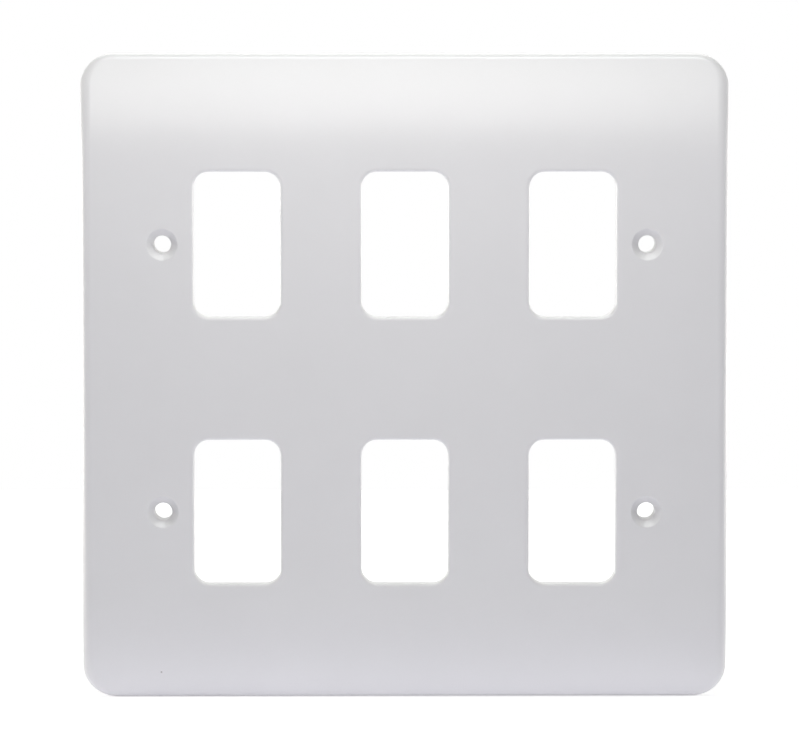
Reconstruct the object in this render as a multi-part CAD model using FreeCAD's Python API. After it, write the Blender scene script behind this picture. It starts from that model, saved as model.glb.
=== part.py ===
import FreeCAD, Part
import math
import os

# Moulded front plate of a grid switch, for two rows of three switch modules.
# It stands as on a wall: X across, Z up, the face towards -Y, the wall plane at Y = 0.
# Lengths are in millimetres and angles in degrees.

# Openings for the switch modules
rows = 2
columns = 3
row_pitch = 60.3
column_pitch = 37.7
opening_width = 19.4
opening_height = 32.6
opening_corner = 3.4
opening_lip = 0.8
collar_wall = 1.6
collar_height = 1.6

# Fixing screws, one beside each end of each row
screw_margin = 7.05
screw_hole = 4.0
countersink_diameter = 6.8
countersink_angle = 90.0
countersink_lip = 0.3
pillar_diameter = 8.6
pillar_draft = 1.0
# pillars stop short of the wall, where they meet the frame behind the plate
pillar_gap = 2.0

# Outline of the plate: from the screws to its sides, from the openings to its top and bottom
side_margin = 18.55
end_margin = 26.55
corner_radius = 7.5

# Section of the plate: from the wall to the flat of the face, and to the face at its top and bottom
plate_depth = 10.0
edge_depth = 4.0
face_wall = 2.6
skirt_wall = 2.2
skirt_draft = 1.5
# rounding where the face turns into the skirt
edge_roll = 2.5
# flat left above and below the openings before the face curves back
flat_margin = 1.5

# Stiffening ribs on the back of the face
rib_thickness = 1.6
rib_height = 2.4
rib_draft = 1.0

# how far a cutting or trimming form runs past the surface that it passes through
overrun = 5.0

# Places and sizes that follow from the values above
row_places = [(i - (rows - 1) / 2) * row_pitch for i in range(rows)]
column_places = [(i - (columns - 1) / 2) * column_pitch for i in range(columns)]
screw_x = column_places[-1] + opening_width / 2 + screw_margin
screw_places = (-screw_x, screw_x)
opening_top = row_places[-1] + opening_height / 2
plate_width = 2 * (screw_x + side_margin)
plate_height = 2 * (opening_top + end_margin)
face_y = -plate_depth
inner_face_y = face_y + face_wall
flat_half = opening_top + opening_lip + flat_margin
arch_run = plate_height / 2 - flat_half
arch_drop = plate_depth - edge_depth
arch_radius = (arch_run**2 + arch_drop**2) / (2 * arch_drop)
arch_angle = math.asin(arch_run / arch_radius)
across = FreeCAD.Vector(1, 0, 0)
inward = FreeCAD.Vector(0, 1, 0)


def lean(length, degrees):
    """Sideways run of a drafted wall over a length."""
    return length * math.tan(math.radians(degrees))


def at_places(shape, x_places, z_places):
    """A copy of a shape at each pair of places."""
    return [shape.translated(FreeCAD.Vector(x, 0, z)) for x in x_places for z in z_places]


def rounded_along_y(block, radius):
    """A block with its four edges that run from front to back rounded."""
    depth = block.BoundBox.YLength
    edges = [edge for edge in block.Edges if edge.BoundBox.YLength > depth / 2]
    return block.makeFillet(radius, edges)


def rounded_prism(width, height, radius, front, back):
    """Straight rounded prism about the Y axis between two planes."""
    corner = FreeCAD.Vector(-width / 2, front, -height / 2)
    return rounded_along_y(Part.makeBox(width, back - front, height, corner), radius)


def drafted_block(width, height, radius, front, back):
    """Rounded block with the given size at the wall plane, its sides drawn in towards the front."""
    front_x = width / 2 + lean(front, skirt_draft)
    front_z = height / 2 + lean(front, skirt_draft)
    back_x = width / 2 + lean(back, skirt_draft)
    back_z = height / 2 + lean(back, skirt_draft)
    low = (-front_x, front, -front_z, -back_z, -back_x)
    high = (front_x, back, front_z, back_z, back_x)
    return rounded_along_y(Part.makeWedge(*low, *high), radius)


def arch_point(radius, angle, side):
    """Point on the arch above (side 1) or below (side -1) the flat, by its turn from the flat."""
    y = face_y + arch_radius - radius * math.cos(angle)
    return FreeCAD.Vector(0, y, side * (flat_half + radius * math.sin(angle)))


def arched_prism(inset, back):
    """Prism across the plate: a flat face with an arch above and below, each run on along its tangent."""
    arches = []
    ends = []
    for side in (-1, 1):
        turns = (0, arch_angle / 2, arch_angle)
        arch = Part.Arc(*[arch_point(arch_radius - inset, turn, side) for turn in turns])
        tangent = FreeCAD.Vector(0, math.sin(arch_angle), side * math.cos(arch_angle))
        arches.append(arch)
        ends.append(arch.EndPoint + tangent * overrun)
    low_back = FreeCAD.Vector(0, back, ends[0].z)
    high_back = FreeCAD.Vector(0, back, ends[1].z)
    outline = Part.Wire([
        Part.makeLine(ends[0], arches[0].EndPoint),
        arches[0].toShape(),
        Part.makeLine(arches[0].StartPoint, arches[1].StartPoint),
        arches[1].toShape(),
        Part.makeLine(arches[1].EndPoint, ends[1]),
        Part.makeLine(ends[1], high_back),
        Part.makeLine(high_back, low_back),
        Part.makeLine(low_back, ends[0]),
    ])
    profile = Part.Face(outline).translated(across * (-plate_width / 2 - overrun))
    return profile.extrude(across * (plate_width + 2 * overrun))


def plate_form(face_inset, skirt_inset, back):
    """The plate as a solid block, set in from its face and from its skirt, out to a back plane."""
    width = plate_width - 2 * skirt_inset
    height = plate_height - 2 * skirt_inset
    radius = corner_radius - skirt_inset
    block = drafted_block(width, height, radius, face_y - overrun, back)
    return block.common(arched_prism(face_inset, back + overrun))


def edges_round_face(form):
    """Edges of a plate form where its face, arches included, meets its sides."""
    face_edges = []
    side_edges = []
    for face in form.Faces:
        u_low, u_high, v_low, v_high = face.ParameterRange
        normal = face.normalAt((u_low + u_high) / 2, (v_low + v_high) / 2)
        sideways = math.hypot(normal.x, normal.z)
        if sideways > abs(normal.y):
            side_edges += face.Edges
        elif normal.y < 0:
            face_edges += face.Edges
    return [edge for edge in face_edges if any(edge.isSame(other) for other in side_edges)]


def rib(x, z, length_x, length_z):
    """Rib standing on the back of the face and thinner at its free edge; its shorter length is its thickness."""
    free_y = inner_face_y + rib_height
    taper = lean(rib_height, rib_draft)
    root = (x - length_x / 2, face_y, z - length_z / 2)
    root_end = (x + length_x / 2, free_y, z + length_z / 2)
    free = (z - length_z / 2 + taper, x - length_x / 2 + taper)
    free_end = (z + length_z / 2 - taper, x + length_x / 2 - taper)
    return Part.makeWedge(*root, *free, *root_end, *free_end)


def stiffening_ribs():
    """A rib across the middle, ribs down between the columns and through the pillars, and ties to the sides."""
    ribs = [rib(0, 0, plate_width, rib_thickness)]
    column_gaps = [(left + right) / 2 for left, right in zip(column_places, column_places[1:])]
    for x in (*column_gaps, *screw_places):
        ribs.append(rib(x, 0, rib_thickness, plate_height))
    for x in screw_places:
        tie_middle = x + math.copysign(side_margin / 2, x)
        for z in row_places:
            ribs.append(rib(tie_middle, z, side_margin, rib_thickness))
    bounds = plate_form(face_wall / 2, skirt_wall / 2, 0)
    return [one.common(bounds) for one in ribs]


def screw_pillar():
    """Tapered pillar from within the face wall to its end near the wall plane."""
    root_y = face_y + face_wall / 2
    length = -pillar_gap - root_y
    end_radius = pillar_diameter / 2
    root_radius = end_radius + lean(length, pillar_draft)
    return Part.makeCone(root_radius, end_radius, length, FreeCAD.Vector(0, root_y, 0), inward)


def screw_cutter():
    """Turned form of a fixing hole: a countersink with a flatter lip on the face, and a clearance hole."""
    sink_radius = countersink_diameter / 2
    hole_radius = screw_hole / 2
    steep = math.radians(countersink_angle / 2)
    lip_y = face_y + countersink_lip * math.tan(steep / 2)
    hole_y = lip_y + (sink_radius - hole_radius) / math.tan(steep)
    outline = Part.makePolygon([
        FreeCAD.Vector(0, face_y - overrun, 0),
        FreeCAD.Vector(sink_radius + countersink_lip, face_y - overrun, 0),
        FreeCAD.Vector(sink_radius + countersink_lip, face_y, 0),
        FreeCAD.Vector(sink_radius, lip_y, 0),
        FreeCAD.Vector(hole_radius, hole_y, 0),
        FreeCAD.Vector(hole_radius, overrun, 0),
        FreeCAD.Vector(0, overrun, 0),
        FreeCAD.Vector(0, face_y - overrun, 0),
    ])
    return Part.Face(outline).revolve(FreeCAD.Vector(), inward, 360)


# The shell: the outer form with its rolled edge, hollowed from the back to an even wall
outer_form = plate_form(0, 0, 0)
outer_form = outer_form.makeFillet(edge_roll, edges_round_face(outer_form))
shell = outer_form.cut(plate_form(face_wall, skirt_wall, overrun))

# Collars round the openings, pillars at the screws and ribs, all moulded on the back of the face
collar = rounded_prism(
    opening_width + 2 * collar_wall,
    opening_height + 2 * collar_wall,
    opening_corner + collar_wall,
    face_y + face_wall / 2,
    inner_face_y + collar_height,
)
collars = at_places(collar, column_places, row_places)
pillars = at_places(screw_pillar(), screw_places, row_places)
backed_shell = shell.fuse(collars + pillars + stiffening_ribs())

# The openings go right through, and their edges on the flat of the face are rounded
opening = rounded_prism(opening_width, opening_height, opening_corner, face_y - overrun, overrun)
pierced = backed_shell.cut(at_places(opening, column_places, row_places)).removeSplitter()
flat = min(pierced.Faces, key=lambda face: face.CenterOfMass.y)
opening_outlines = [wire for wire in flat.Wires if not wire.isSame(flat.OuterWire)]
lip_edges = [edge for outline in opening_outlines for edge in outline.Edges]
lipped = pierced.makeFillet(opening_lip, lip_edges)

# The fixing holes are sunk through the face and the pillars
front_plate = lipped.cut(at_places(screw_cutter(), screw_places, row_places))

os.makedirs("parts", exist_ok=True)
front_plate.exportStep("parts/front_plate.step")
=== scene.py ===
import math
import bpy
import numpy as np
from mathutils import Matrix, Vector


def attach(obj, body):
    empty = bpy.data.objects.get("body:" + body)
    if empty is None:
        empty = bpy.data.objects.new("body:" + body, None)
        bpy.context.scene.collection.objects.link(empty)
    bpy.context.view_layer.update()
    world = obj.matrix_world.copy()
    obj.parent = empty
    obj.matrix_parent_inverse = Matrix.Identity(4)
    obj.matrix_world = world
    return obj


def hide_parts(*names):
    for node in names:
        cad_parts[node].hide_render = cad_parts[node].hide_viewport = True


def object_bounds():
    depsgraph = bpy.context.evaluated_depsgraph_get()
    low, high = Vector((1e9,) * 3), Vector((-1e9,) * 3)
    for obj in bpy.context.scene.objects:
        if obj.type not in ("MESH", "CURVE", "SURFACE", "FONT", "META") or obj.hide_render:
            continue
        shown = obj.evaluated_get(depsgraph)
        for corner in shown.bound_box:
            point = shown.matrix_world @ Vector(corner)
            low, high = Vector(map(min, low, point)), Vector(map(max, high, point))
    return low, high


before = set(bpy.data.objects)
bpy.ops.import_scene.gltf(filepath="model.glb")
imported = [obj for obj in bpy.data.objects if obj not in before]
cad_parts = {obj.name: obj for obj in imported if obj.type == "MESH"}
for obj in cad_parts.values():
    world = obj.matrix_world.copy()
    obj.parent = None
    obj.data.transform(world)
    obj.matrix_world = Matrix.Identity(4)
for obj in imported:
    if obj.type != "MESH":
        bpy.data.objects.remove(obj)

solid_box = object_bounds()

# The front plate: a hollow shell in white urea resin, pressed hot in a polished steel mould.
# The face, the rims of the openings, the screw pillars, the ribs and the skirt come out of the
# mould as one piece, so it is one closed surface here too. Sizes are in millimetres.
row_pitch, column_pitch = 60.3, 37.7
opening_width, opening_height, opening_corner, opening_lip = 19.4, 32.6, 3.4, 0.8
collar_wall, collar_height = 1.6, 1.6
screw_margin, screw_hole = 7.05, 4.0
sink_width, sink_angle, sink_lip = 6.8, math.radians(45.0), 0.3
pillar_width, pillar_gap, pillar_draft = 8.6, 2.0, math.tan(math.radians(1.0))
side_margin, end_margin, corner_radius = 18.55, 26.55, 7.5
plate_depth, edge_depth, face_wall, skirt_wall = 10.0, 4.0, 2.6, 2.2
skirt_draft, edge_roll, flat_margin = math.radians(1.5), 2.5, 1.5
rib_thickness, rib_height, rib_taper = 1.6, 2.4, 0.042
# Easing of the moulding's back edges, of the foot of a countersink and of the root of a pillar
rim_ease, sink_ease, root_ease = 0.25, 0.15, 0.12
# How far a section line runs on past its last corner, over the face, the back or the skirt
lip_reach, collar_reach, pillar_reach, skirt_reach = 1.2, 2.0, 0.2, 0.8
# Longest step of the grid, and how far the cell left out of it stands off an opening
grid_step, cell_margin = 1.4, 2.2
# Nearness at which two places are one, and the digits that grid lines and welded points keep
touch, grid_digits, weld_digits = 1e-6, 6, 5
metres = 0.001

row_places = np.array([-0.5, 0.5]) * row_pitch
column_places = np.array([-1.0, 0.0, 1.0]) * column_pitch
screw_x = column_places[-1] + opening_width / 2 + screw_margin
opening_top = row_places[-1] + opening_height / 2
half_width = screw_x + side_margin
half_height = opening_top + end_margin
flat_half = opening_top + opening_lip + flat_margin
arch_run = half_height - flat_half
arch_drop = plate_depth - edge_depth
arch_radius = (arch_run**2 + arch_drop**2) / (2 * arch_drop)
inner_y = face_wall - plate_depth
collar_y = inner_y + collar_height
rib_y = inner_y + rib_height


def arched(z, inset):
    """Depth of the face set in by inset: flat, then past the flat a circular arch that falls back
    by the radius less the root of the radius squared less the run squared."""
    run = np.maximum(np.abs(z) - flat_half, 0)
    return arch_radius - plate_depth - np.sqrt((arch_radius - inset) ** 2 - run**2)


def ribbed(x, z):
    """True on the free edge of a rib: across the middle, down between the columns and through the
    pillars, and from each pillar out to the side."""
    half = rib_thickness / 2 - rib_taper / 2
    rib_places = np.array([-screw_x, -column_pitch / 2, column_pitch / 2, screw_x])
    down = (np.abs(x[..., None] - rib_places) < half).any(-1)
    ties = (np.abs(z[..., None] - row_places) < half).any(-1) & (np.abs(x) > screw_x)
    return down | ties | (np.abs(z) < half)


def back_of_face(x, z):
    """Depth of the back of the face: the arch set in by the wall, or the rib's edge where that
    stands higher."""
    return np.maximum(arched(z, face_wall), np.where(ribbed(x, z), rib_y, -plate_depth))


def arc_between(start, end, steps):
    """Unit vectors along the great circle from start to end: each end is weighted by the sine of
    its share of the angle, over the sine of the whole angle."""
    angle = np.arccos(np.clip((start * end).sum(-1, keepdims=True), -1, 1))
    share = np.linspace(0, 1, steps + 1).reshape((-1,) + (1,) * start.ndim)
    return (np.sin((1 - share) * angle) * start + np.sin(share * angle) * end) / np.sin(angle)


def eased(corners, radii, steps=6):
    """A section line with its corners turned into arcs: each arc's centre lies on the corner's
    bisector, at the radius over the sine of half the corner's angle."""
    corners = np.array(corners, float)
    points = [corners[:1]]
    for before, corner, after, radius in zip(corners, corners[1:], corners[2:], radii):
        back = (before - corner) / np.linalg.norm(before - corner)
        on = (after - corner) / np.linalg.norm(after - corner)
        half = math.acos(back @ on) / 2
        middle = (back + on) / np.linalg.norm(back + on)
        centre = corner + middle * radius / math.sin(half)
        start = (corner + back * radius / math.tan(half) - centre) / radius
        end = (corner + on * radius / math.tan(half) - centre) / radius
        points.append(centre + radius * arc_between(start, end, steps))
    return np.concatenate(points + [corners[-1:]])


def spread(stops, step):
    """Grid lines through every stop, with each gap between stops cut evenly into parts no longer
    than the step."""
    stops = np.unique(np.round(stops, grid_digits))
    lines = []
    for low, high in zip(stops, stops[1:]):
        parts = max(1, math.ceil((high - low) / step))
        lines.append(np.linspace(low, high, parts + 1)[:-1])
    return np.concatenate(lines + [stops[-1:]])


def loop_round(xs, zs):
    """Points of a grid round its edge, anticlockwise as the face is seen: right, top, left, bottom."""
    right = np.stack([np.full(len(zs) - 1, xs[-1]), zs[:-1]], 1)
    top = np.stack([xs[:0:-1], np.full(len(xs) - 1, zs[-1])], 1)
    left = np.stack([np.full(len(zs) - 1, xs[0]), zs[:0:-1]], 1)
    bottom = np.stack([xs[:-1], np.full(len(xs) - 1, zs[0])], 1)
    return np.concatenate([right, top, left, bottom])


def surface_rows(plan, depth, inside):
    """Rows of surface points: across, depth and height from the plan and the depths, and a mark
    that is one on the back of the plate and nought on its front."""
    inside = np.asarray(inside, float)[..., None]
    plan, depth, inside = np.broadcast_arrays(plan, depth[..., None], inside)
    return np.stack([plan[..., 0], depth[..., 0], plan[..., 1], inside[..., 0]], -1)


def band(rows, outwards):
    """Quads of a closed band of rows, each as its four corner points, facing out of the plastic."""
    along = np.roll(rows, -1, axis=1)
    quad = [rows[:-1], along[:-1], along[1:], rows[1:]]
    quad = quad[::-1] if outwards else quad
    return np.stack(quad, 2).reshape(-1, 4, rows.shape[-1])


# Grid lines of the face and of its back, through the rib edges and the cells round the holes
cell_x, cell_z = opening_width / 2 + cell_margin, opening_height / 2 + cell_margin
screw_cell = screw_x - column_pitch - cell_x
straight_x, straight_z = opening_width / 2 - opening_corner, opening_height / 2 - opening_corner
rib_edges = np.array([-1, 1]) * rib_thickness / 2
rib_edges = np.concatenate([rib_edges, rib_edges * (1 - 2 * rib_taper / rib_thickness)])
skeleton_x, skeleton_z = half_width - corner_radius, half_height - corner_radius
rib_to_centre = arch_radius - plate_depth - rib_y
rib_fade = flat_half + math.sqrt((arch_radius - face_wall) ** 2 - rib_to_centre**2)
stops_x = [skeleton_x, screw_x + screw_cell, screw_x - screw_cell, screw_x]
stops_x = np.concatenate([stops_x, screw_x + rib_edges, column_pitch / 2 + rib_edges])
stops_x = np.concatenate([stops_x, -stops_x])
for place in column_places:
    stops_x = np.append(stops_x, place + np.array([-cell_x, -straight_x, straight_x, cell_x]))
stops_z = np.concatenate([[-skeleton_z, -rib_fade, rib_fade, skeleton_z], rib_edges])
for place in row_places:
    stops_z = np.append(stops_z, place + np.array([-cell_z, -straight_z, straight_z, cell_z]))
    stops_z = np.append(stops_z, place + np.array([-screw_cell, 0, screw_cell]))
    stops_z = np.append(stops_z, place + rib_edges)
xs, zs = spread(stops_x, grid_step), spread(stops_z, grid_step)
grid_x, grid_z = np.meshgrid(xs, zs)
patches = []

# Rims of the openings: the section runs from the face over a rounded lip, down the wall, round the
# back of the collar and out to the back of the face; it is carried round a rounded rectangle
rim_section = eased(
    [
        (lip_reach, -plate_depth),
        (0, -plate_depth),
        (0, collar_y),
        (collar_wall, collar_y),
        (collar_wall, inner_y),
        (collar_reach, inner_y),
    ],
    [opening_lip, rim_ease, rim_ease, rim_ease],
)
# Fixing holes: countersink with a rounded lip, clearance hole and pillar, turned about an axis
sink_radius, hole_radius = sink_width / 2, screw_hole / 2
lip_run = sink_lip / (1 + math.sin(sink_angle))
lip_radius = lip_run / math.tan(math.pi / 4 - sink_angle / 2)
mouth_radius = sink_radius + sink_lip - lip_run
hole_y = (mouth_radius - hole_radius) / math.tan(sink_angle) - plate_depth
pillar_root = pillar_width / 2 + (-pillar_gap - inner_y) * pillar_draft
screw_section = eased(
    [
        (mouth_radius + 2 * lip_run, -plate_depth),
        (mouth_radius, -plate_depth),
        (hole_radius, hole_y),
        (hole_radius, -pillar_gap),
        (pillar_width / 2, -pillar_gap),
        (pillar_root, inner_y),
        (pillar_root + pillar_reach, inner_y),
    ],
    [lip_radius, sink_ease, rim_ease, rim_ease, root_ease],
)
solid_cell = np.ones((len(zs) - 1, len(xs) - 1), bool)
middle_x, middle_z = (xs[:-1] + xs[1:]) / 2, (zs[:-1] + zs[1:]) / 2


def hole(x, z, reach_x, reach_z, flat_x, flat_z, radius, section):
    """A hole's wall: rows that start on the grid round its cell, follow the section and end on the
    grid at the back. The base of each ray is the nearest point of the inner rectangle, and the ray
    turns by 45 degrees times one plus the share of the corner passed upwards less the share left
    sideways. A round hole has no inner rectangle, and its rays leave its axis."""
    in_x = (xs > x - reach_x - touch) & (xs < x + reach_x + touch)
    in_z = (zs > z - reach_z - touch) & (zs < z + reach_z + touch)
    solid_cell[np.ix_(np.abs(middle_z - z) < reach_z, np.abs(middle_x - x) < reach_x)] = False
    loop = loop_round(xs[in_x], zs[in_z])
    offset = loop - (x, z)
    if flat_x > 0:
        share = (np.abs(offset) - (flat_x, flat_z)).clip(0) / (reach_x - flat_x, reach_z - flat_z)
        turn = np.pi / 4 * (1 + share[:, 1] - share[:, 0])
        ray = np.sign(offset) * np.stack([np.cos(turn), np.sin(turn)], 1)
    else:
        ray = offset / np.linalg.norm(offset, axis=1, keepdims=True)
    base = np.clip(offset, (-flat_x, -flat_z), (flat_x, flat_z)) + (x, z)
    plan = base + (radius + section[:, :1, None]) * ray
    back = back_of_face(loop[:, 0], loop[:, 1])
    behind = np.maximum.accumulate(section[:, 1]) > section[:, 1].max() - touch
    depth = np.where(behind[:, None], np.maximum(section[:, 1:], back), section[:, 1:])
    front_edge = surface_rows(loop[None], arched(loop[:, 1], 0)[None], np.zeros((1, 1)))
    wall = surface_rows(plan, depth, behind[:, None])
    back_edge = surface_rows(loop[None], back[None], np.ones((1, 1)))
    return band(np.concatenate([front_edge, wall, back_edge]), False)


for x in column_places:
    for z in row_places:
        patches.append(hole(x, z, cell_x, cell_z, straight_x, straight_z, opening_corner, rim_section))
for x in (-screw_x, screw_x):
    for z in row_places:
        patches.append(hole(x, z, screw_cell, screw_cell, 0.0, 0.0, 0.0, screw_section))

# The face between the holes, and its back with the ribs
for depth, inside in ((arched(grid_z, 0), 0), (back_of_face(grid_x, grid_z), 1)):
    field = surface_rows(np.stack([grid_x, grid_z], -1), depth, np.full(depth.shape, inside))
    quads = np.stack([field[:-1, :-1], field[:-1, 1:], field[1:, 1:], field[1:, :-1]], 2)
    quads = quads[solid_cell]
    patches.append(quads[:, ::-1] if inside else quads)

# The edge of the plate: rays leave the grid square on, and fan out of its corners. A ball of the
# roll's radius runs along inside the face and the skirt, and the roll is its arc between the two.
# The ball's depth, and the depth of the skirt's inner foot, are settled in a few rounds.
corner_steps, roll_steps, settling_rounds = 12, 10, 6
field_shares = np.array([0, 0.25, 0.5, 0.75, 0.94])[:, None, None]
inner_shares = np.array([0, 0.06, 0.5, 1.0])[:, None, None]
corner_turns = np.linspace(0, np.pi / 2, corner_steps + 1)[:-1]
side_ends = np.cumsum([len(zs) - 1, len(xs) - 1, len(zs) - 1])
side_points = np.split(loop_round(xs, zs), side_ends)
base, ray = [], []
for quarter, points in enumerate(side_points):
    corner = side_points[(quarter + 1) % len(side_points)][:1]
    turns = np.concatenate([np.zeros(len(points)), corner_turns]) + quarter * np.pi / 2
    base.append(np.concatenate([points, np.repeat(corner, corner_steps, 0)]))
    ray.append(np.stack([np.cos(turns), np.sin(turns)], 1))
base, ray = np.concatenate(base), np.concatenate(ray)
draft = math.tan(skirt_draft)
ball_y = np.full(len(base), edge_roll - plate_depth)
for settle in range(settling_rounds):
    ball_out = corner_radius - edge_roll / math.cos(skirt_draft) + ball_y * draft
    ball = base + ball_out[:, None] * ray
    ball_y = arched(ball[:, 1], edge_roll)
tilt = np.arcsin(np.maximum(np.abs(ball[:, 1]) - flat_half, 0) / (arch_radius - edge_roll))
to_face = np.stack([np.zeros_like(tilt), -np.cos(tilt), np.sign(ball[:, 1]) * np.sin(tilt)], 1)
outward, forward = math.cos(skirt_draft), -math.sin(skirt_draft)
to_skirt = np.stack([ray[:, 0] * outward, np.full(len(ray), forward), ray[:, 1] * outward], 1)
roll = edge_roll * arc_between(to_face, to_skirt, roll_steps)
roll_plan, roll_y = ball + roll[..., ::2], ball_y + roll[..., 1]
field_plan = base + field_shares * (roll_plan[0] - base)
# The skirt's back edge, both corners eased, as offsets from its outer edge on the wall plane
skirt_section = eased(
    [
        (-skirt_reach * draft, -skirt_reach),
        (0, 0),
        (-skirt_wall, 0),
        (-skirt_wall - skirt_reach * draft, -skirt_reach),
    ],
    [rim_ease, rim_ease],
)
skirt_plan = base + (corner_radius + skirt_section[:, :1, None]) * ray
skirt_inside = skirt_section[:, :1] < -skirt_wall / 2
foot_y = np.full(len(base), inner_y)
on_rib = np.where(ribbed(base[:, 0], base[:, 1]), rib_y, -plate_depth)
for settle in range(settling_rounds):
    foot = base + (corner_radius - skirt_wall + foot_y * draft)[:, None] * ray
    foot_y = np.maximum(arched(foot[:, 1], face_wall), on_rib)
inner_plan = foot + inner_shares * (base - foot)
inner_depth = np.maximum(arched(inner_plan[..., 1], face_wall), on_rib)
edge_rows = np.concatenate([
    surface_rows(field_plan, arched(field_plan[..., 1], 0), np.zeros((len(field_plan), 1))),
    surface_rows(roll_plan, roll_y, np.zeros((len(roll_plan), 1))),
    surface_rows(skirt_plan, skirt_section[:, 1:], skirt_inside),
    surface_rows(inner_plan, inner_depth, np.ones((len(inner_plan), 1))),
])
patches.append(band(edge_rows, True))

# All patches join at their shared points; quads become triangles, less those with no width
corners = np.concatenate(patches)
welded = np.round(corners[..., :3].reshape(-1, 3), weld_digits)
points, first, index = np.unique(welded, axis=0, return_index=True, return_inverse=True)
index = index.reshape(-1, 4)
triangles = np.concatenate([index[:, [0, 1, 2]], index[:, [0, 2, 3]]])
a, b, c = triangles.T
triangles = triangles[(a != b) & (b != c) & (c != a)]
moulding = bpy.data.meshes.new("plate_moulding")
moulding.vertices.add(len(points))
moulding.vertices.foreach_set("co", (points * metres).ravel())
moulding.loops.add(triangles.size)
moulding.loops.foreach_set("vertex_index", triangles.ravel())
moulding.polygons.add(len(triangles))
moulding.polygons.foreach_set("loop_start", np.arange(0, triangles.size, 3))
moulding.update(calc_edges=True)
moulding.validate()
moulding.polygons.foreach_set("use_smooth", np.ones(len(moulding.polygons), bool))
moulding.set_sharp_from_angle(angle=math.radians(32))
inside_mark = moulding.attributes.new("inside", "FLOAT", "POINT")
inside_mark.data.foreach_set("value", corners[..., 3].reshape(-1)[first].astype(np.float32))
plate = bpy.data.objects.new("plate_moulding", moulding)
bpy.context.scene.collection.objects.link(plate)
even_normals = plate.modifiers.new("even_normals", "WEIGHTED_NORMAL")
even_normals.keep_sharp = True

urea = bpy.data.materials.new("white_urea")
urea.use_nodes = True


def add_node(owner, kind, settings=None, **values):
    """A shader node in a material or a world, with its settings and its socket values by name."""
    made = owner.node_tree.nodes.new("ShaderNode" + kind)
    for setting, value in (settings or {}).items():
        setattr(made, setting, value)
    for socket, value in values.items():
        made.inputs[socket.replace("_", " ")].default_value = value
    return made


def join(owner, start, end):
    """A link between two node sockets of a material or a world."""
    owner.node_tree.links.new(start, end)


# Resin colour: a faint cloudiness from the flow in the mould, the grain of the filler, and one dark
# grain that was caught near the lower left corner
speck_place = (-0.0551, -0.0068, -0.0669)
gloss = urea.node_tree.nodes["Principled BSDF"]
gloss.inputs["IOR"].default_value = 1.55
place = add_node(urea, "TexCoord")
side = add_node(urea, "Attribute", {"attribute_name": "inside"})
cloud = add_node(urea, "TexNoise", Scale=55.0, Detail=2.0, Roughness=0.5)
filler = add_node(urea, "TexNoise", Scale=2600.0, Detail=1.0, Roughness=0.5)
clouded = add_node(urea, "MixRGB", Color1=(0.772, 0.769, 0.762, 1), Color2=(0.802, 0.799, 0.792, 1))
grained = add_node(urea, "MixRGB", {"blend_type": "OVERLAY"}, Fac=0.035)
speck_reach = add_node(urea, "VectorMath", {"operation": "DISTANCE"})
speck_reach.inputs[1].default_value = speck_place
soft_edge = {"interpolation_type": "SMOOTHSTEP"}
speck_mask = add_node(urea, "MapRange", soft_edge, From_Min=0.00030, From_Max=0.00012)
specked = add_node(urea, "MixRGB", Color2=(0.42, 0.40, 0.38, 1))
for texture in (cloud, filler):
    join(urea, place.outputs["Object"], texture.inputs["Vector"])
join(urea, place.outputs["Object"], speck_reach.inputs[0])
join(urea, cloud.outputs["Fac"], clouded.inputs["Fac"])
join(urea, clouded.outputs["Color"], grained.inputs["Color1"])
join(urea, filler.outputs["Fac"], grained.inputs["Color2"])
join(urea, speck_reach.outputs["Value"], speck_mask.inputs["Value"])
join(urea, speck_mask.outputs["Result"], specked.inputs["Fac"])
join(urea, grained.outputs["Color"], specked.inputs["Color1"])
join(urea, specked.outputs["Color"], gloss.inputs["Base Color"])
# Finish: the polished half of the mould leaves a satin face with a slight ripple, the other half,
# cut by sparks, a matt and finely pitted back
ripple_share = 0.12
ripple = add_node(urea, "TexNoise", Scale=420.0, Detail=2.0, Roughness=0.5)
pits = add_node(urea, "TexNoise", Scale=3400.0, Detail=2.0, Roughness=0.6)
face_sheen = add_node(urea, "MapRange", To_Min=0.285, To_Max=0.315)
sheen = add_node(urea, "MixRGB", Color2=(0.6, 0.6, 0.6, 1))
face_height = add_node(urea, "Math", {"operation": "MULTIPLY"})
face_height.inputs[1].default_value = ripple_share
height = add_node(urea, "MixRGB")
relief = add_node(urea, "Bump", Strength=0.25, Distance=0.00004)
for texture in (ripple, pits):
    join(urea, place.outputs["Object"], texture.inputs["Vector"])
join(urea, ripple.outputs["Fac"], face_sheen.inputs["Value"])
join(urea, face_sheen.outputs["Result"], sheen.inputs["Color1"])
join(urea, side.outputs["Fac"], sheen.inputs["Fac"])
join(urea, sheen.outputs["Color"], gloss.inputs["Roughness"])
join(urea, ripple.outputs["Fac"], face_height.inputs[0])
join(urea, face_height.outputs["Value"], height.inputs["Color1"])
join(urea, pits.outputs["Fac"], height.inputs["Color2"])
join(urea, side.outputs["Fac"], height.inputs["Fac"])
join(urea, height.outputs["Color"], relief.inputs["Height"])
join(urea, relief.outputs["Normal"], gloss.inputs["Normal"])
plate.data.materials.append(urea)
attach(plate, "root")
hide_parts("front_plate")

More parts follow.
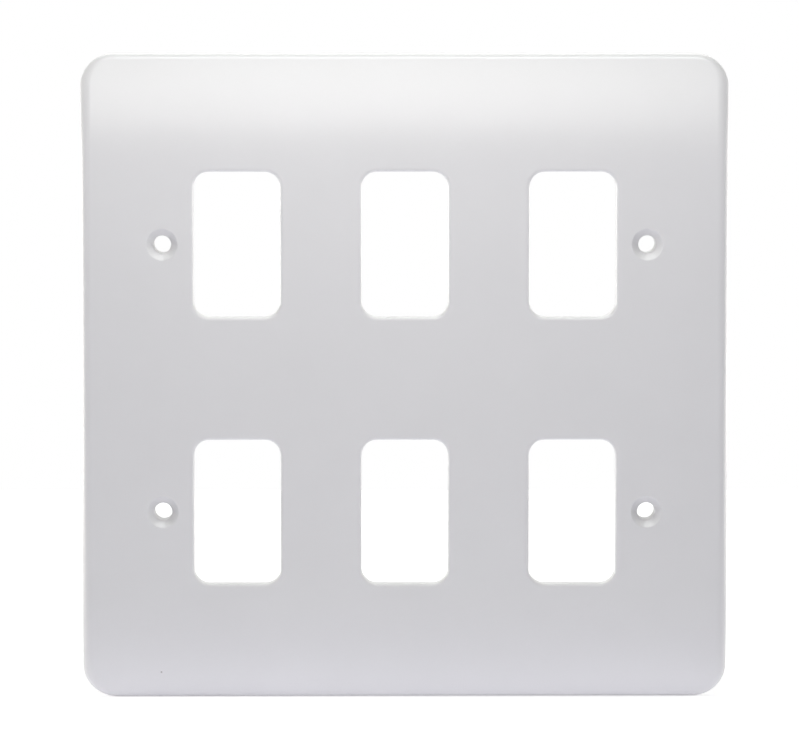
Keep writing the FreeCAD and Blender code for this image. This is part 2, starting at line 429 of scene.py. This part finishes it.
# The studio floor: a flat white paper sheet that the plate stands on. Its sizes are in metres.
# To the eye and in reflections it glows up to plain white away from the plate. Near the plate the glow
# is weaker, a painted dimming round it, so the lamps' real shadow on the sheet shows there. For the
# rays that carry light the sheet itself glows with a cool, even light, a painted bounce from no lamp,
# and that glow fades out under the foot, which paints a contact shade along the plate's bottom edge.
sheet_side, sheet_front, sheet_back = 1.2, -1.2, 0.45
foot_middle = 0.0025
floor_z = solid_box[0][2]
sheet = bpy.data.meshes.new("studio_floor")
corner_x = np.array([-sheet_side, sheet_side, sheet_side, -sheet_side])
corner_y = np.array([sheet_front, sheet_front, sheet_back, sheet_back])
sheet_corners = np.stack([corner_x, corner_y, np.full(len(corner_x), floor_z)], 1)
sheet.from_pydata(sheet_corners.tolist(), [], [(0, 1, 2, 3)])
floor = bpy.data.objects.new("studio_floor", sheet)
bpy.context.scene.collection.objects.link(floor)
paper = bpy.data.materials.new("studio_paper")
paper.use_nodes = True


def seen_rays(owner):
    """A mask that is one for rays from the camera, in reflections and through glass, and nought
    for the rays that carry light: the largest of the three marks of a ray."""
    path = add_node(owner, "LightPath")
    mask = path.outputs["Is Camera Ray"]
    for ray_kind in ("Is Glossy Ray", "Is Transmission Ray"):
        either = add_node(owner, "Math", {"operation": "MAXIMUM"})
        join(owner, mask, either.inputs[0])
        join(owner, path.outputs[ray_kind], either.inputs[1])
        mask = either.outputs["Value"]
    return mask


sheet_shade = paper.node_tree.nodes["Principled BSDF"]
sheet_shade.inputs["Base Color"].default_value = (0.8, 0.8, 0.8, 1)
sheet_shade.inputs["Roughness"].default_value = 0.9
on_sheet = add_node(paper, "TexCoord")
from_plate = add_node(paper, "VectorMath", {"operation": "LENGTH"})
# Painted dimming: the glow seen by the eye is weaker within 0.3 m of the plate, so the real shadow
# shows
glow_painted_dim_near_plate = add_node(paper, "MapRange", From_Min=0.11, From_Max=0.3, To_Min=0.56, To_Max=1.0)
sheet_axes = add_node(paper, "SeparateXYZ")
# Painted bounce: for light-carrying rays the sheet glows onto the plate, and the glow drops near the
# foot's line, a painted contact shade on the plate's bottom edge
from_foot = add_node(paper, "Math", {"operation": "ADD"})
from_foot.inputs[1].default_value = foot_middle
foot_gap = add_node(paper, "Math", {"operation": "ABSOLUTE"})
bounce_glow_painted_foot_shade = add_node(paper, "MapRange", From_Min=0.0005, From_Max=0.003, To_Min=0.1, To_Max=0.585)
glow = add_node(paper, "Emission")
bounce_glow = add_node(paper, "Emission", Color=(0.87, 0.86, 1.0, 1))
pick = add_node(paper, "MixShader")
total = add_node(paper, "AddShader")
join(paper, on_sheet.outputs["Object"], from_plate.inputs[0])
join(paper, from_plate.outputs["Value"], glow_painted_dim_near_plate.inputs["Value"])
join(paper, glow_painted_dim_near_plate.outputs["Result"], glow.inputs["Strength"])
join(paper, on_sheet.outputs["Object"], sheet_axes.inputs["Vector"])
join(paper, sheet_axes.outputs["Y"], from_foot.inputs[0])
join(paper, from_foot.outputs["Value"], foot_gap.inputs[0])
join(paper, foot_gap.outputs["Value"], bounce_glow_painted_foot_shade.inputs["Value"])
join(paper, bounce_glow_painted_foot_shade.outputs["Result"], bounce_glow.inputs["Strength"])
join(paper, seen_rays(paper), pick.inputs["Fac"])
join(paper, bounce_glow.outputs["Emission"], pick.inputs[1])
join(paper, glow.outputs["Emission"], pick.inputs[2])
join(paper, pick.outputs["Shader"], total.inputs[0])
join(paper, sheet_shade.outputs["BSDF"], total.inputs[1])
join(paper, total.outputs["Shader"], paper.node_tree.nodes["Material Output"].inputs["Surface"])
floor.data.materials.append(paper)

# The light: a key lamp high above the plate and a little in front, a fill lamp before the face, a
# card at each side and three lamps behind, all soft. The room gives next to no light, and is white
# only where the camera or a reflection sees it. Lengths are in metres and powers in watts.
world = bpy.data.worlds.new("studio_room")
bpy.context.scene.world = world
world.use_nodes = True
room = world.node_tree.nodes["Background"]
room.inputs["Color"].default_value = (1.0, 0.99, 1.0, 1)
room.inputs["Strength"].default_value = 0.015
white = add_node(world, "Background", Color=(1, 1, 1, 1))
room_pick = add_node(world, "MixShader")
join(world, seen_rays(world), room_pick.inputs["Fac"])
join(world, room.outputs["Background"], room_pick.inputs[1])
join(world, white.outputs["Background"], room_pick.inputs[2])
join(world, room_pick.outputs["Shader"], world.node_tree.nodes["World Output"].inputs["Surface"])


def soft_lamp(name, place, target, width, height, power, colour):
    """A rectangular lamp at a place, turned to face a target: it yaws by the angle of the line
    between them on the floor, and pitches by that line's angle from upright."""
    lamp = bpy.data.lights.new(name, "AREA")
    lamp.shape = "RECTANGLE"
    lamp.size, lamp.size_y, lamp.energy, lamp.color = width, height, power, colour
    holder = bpy.data.objects.new(name, lamp)
    facing = np.array(place, float) - np.array(target, float)
    yaw = math.atan2(facing[1], facing[0]) + math.pi / 2
    pitch = math.acos(facing[2] / np.linalg.norm(facing))
    holder.location, holder.rotation_euler = place, (pitch, 0, yaw)
    holder.visible_camera = False
    bpy.context.scene.collection.objects.link(holder)


soft_lamp("key_lamp", (0.0, -0.095, 0.36), (0, 0, 0.02), 0.3, 0.08, 0.585, (0.955, 0.985, 1.0))
soft_lamp("fill_lamp", (-0.01, -0.16, 0.158), (0, 0, 0.05), 0.2, 0.12, 0.199, (1.0, 0.985, 0.96))
soft_lamp("left_card", (-0.45, 0.14, 0.0), (0, 0.14, 0), 0.3, 0.14, 0.7, (1.0, 0.97, 0.9))
soft_lamp("right_card", (0.45, 0.14, 0.0), (0, 0.14, 0), 0.3, 0.14, 0.46, (1.0, 0.99, 0.93))
soft_lamp("back_lamp", (0.0, 0.3, 0.33), (0, 0, 0), 0.4, 0.2, 0.55, (1.0, 0.99, 0.97))
soft_lamp("left_back_lamp", (-0.45, 0.45, 0.0), (0, 0, 0), 0.3, 0.14, 0.75, (1.0, 0.98, 0.95))
soft_lamp("right_back_lamp", (0.45, 0.45, 0.0), (0, 0, 0), 0.3, 0.14, 0.55, (1.0, 0.98, 0.95))

# The camera: a long lens one metre in front of the plate and a little above it, aimed at the middle
# of its face. The frame is shifted by the few pixels that the plate stands off the picture's middle.
image_width, image_height = 799, 750
pixels_per_mm, camera_distance = 4.45, 1000.0
camera_rise, camera_side = math.radians(4.5), math.radians(-0.5)
plate_pixel = (404.8, 378.7)
view = bpy.data.cameras.new("photo_camera")
view.sensor_fit, view.sensor_width = "HORIZONTAL", 36.0
view.lens = pixels_per_mm * camera_distance * view.sensor_width / image_width
view.shift_x = (image_width / 2 - plate_pixel[0]) / image_width
view.shift_y = (plate_pixel[1] - image_height / 2) / image_width
view.clip_start, view.clip_end = 0.01, 100
camera = bpy.data.objects.new("photo_camera", view)
camera_forward = camera_distance * math.cos(camera_rise)
camera.location = (
    camera_forward * math.sin(camera_side) * metres,
    -(plate_depth + camera_forward * math.cos(camera_side)) * metres,
    camera_distance * math.sin(camera_rise) * metres,
)
camera.rotation_euler = (math.pi / 2 - camera_rise, 0, camera_side)
bpy.context.scene.collection.objects.link(camera)
bpy.context.scene.camera = camera
bpy.context.scene.view_settings.view_transform = "Standard"
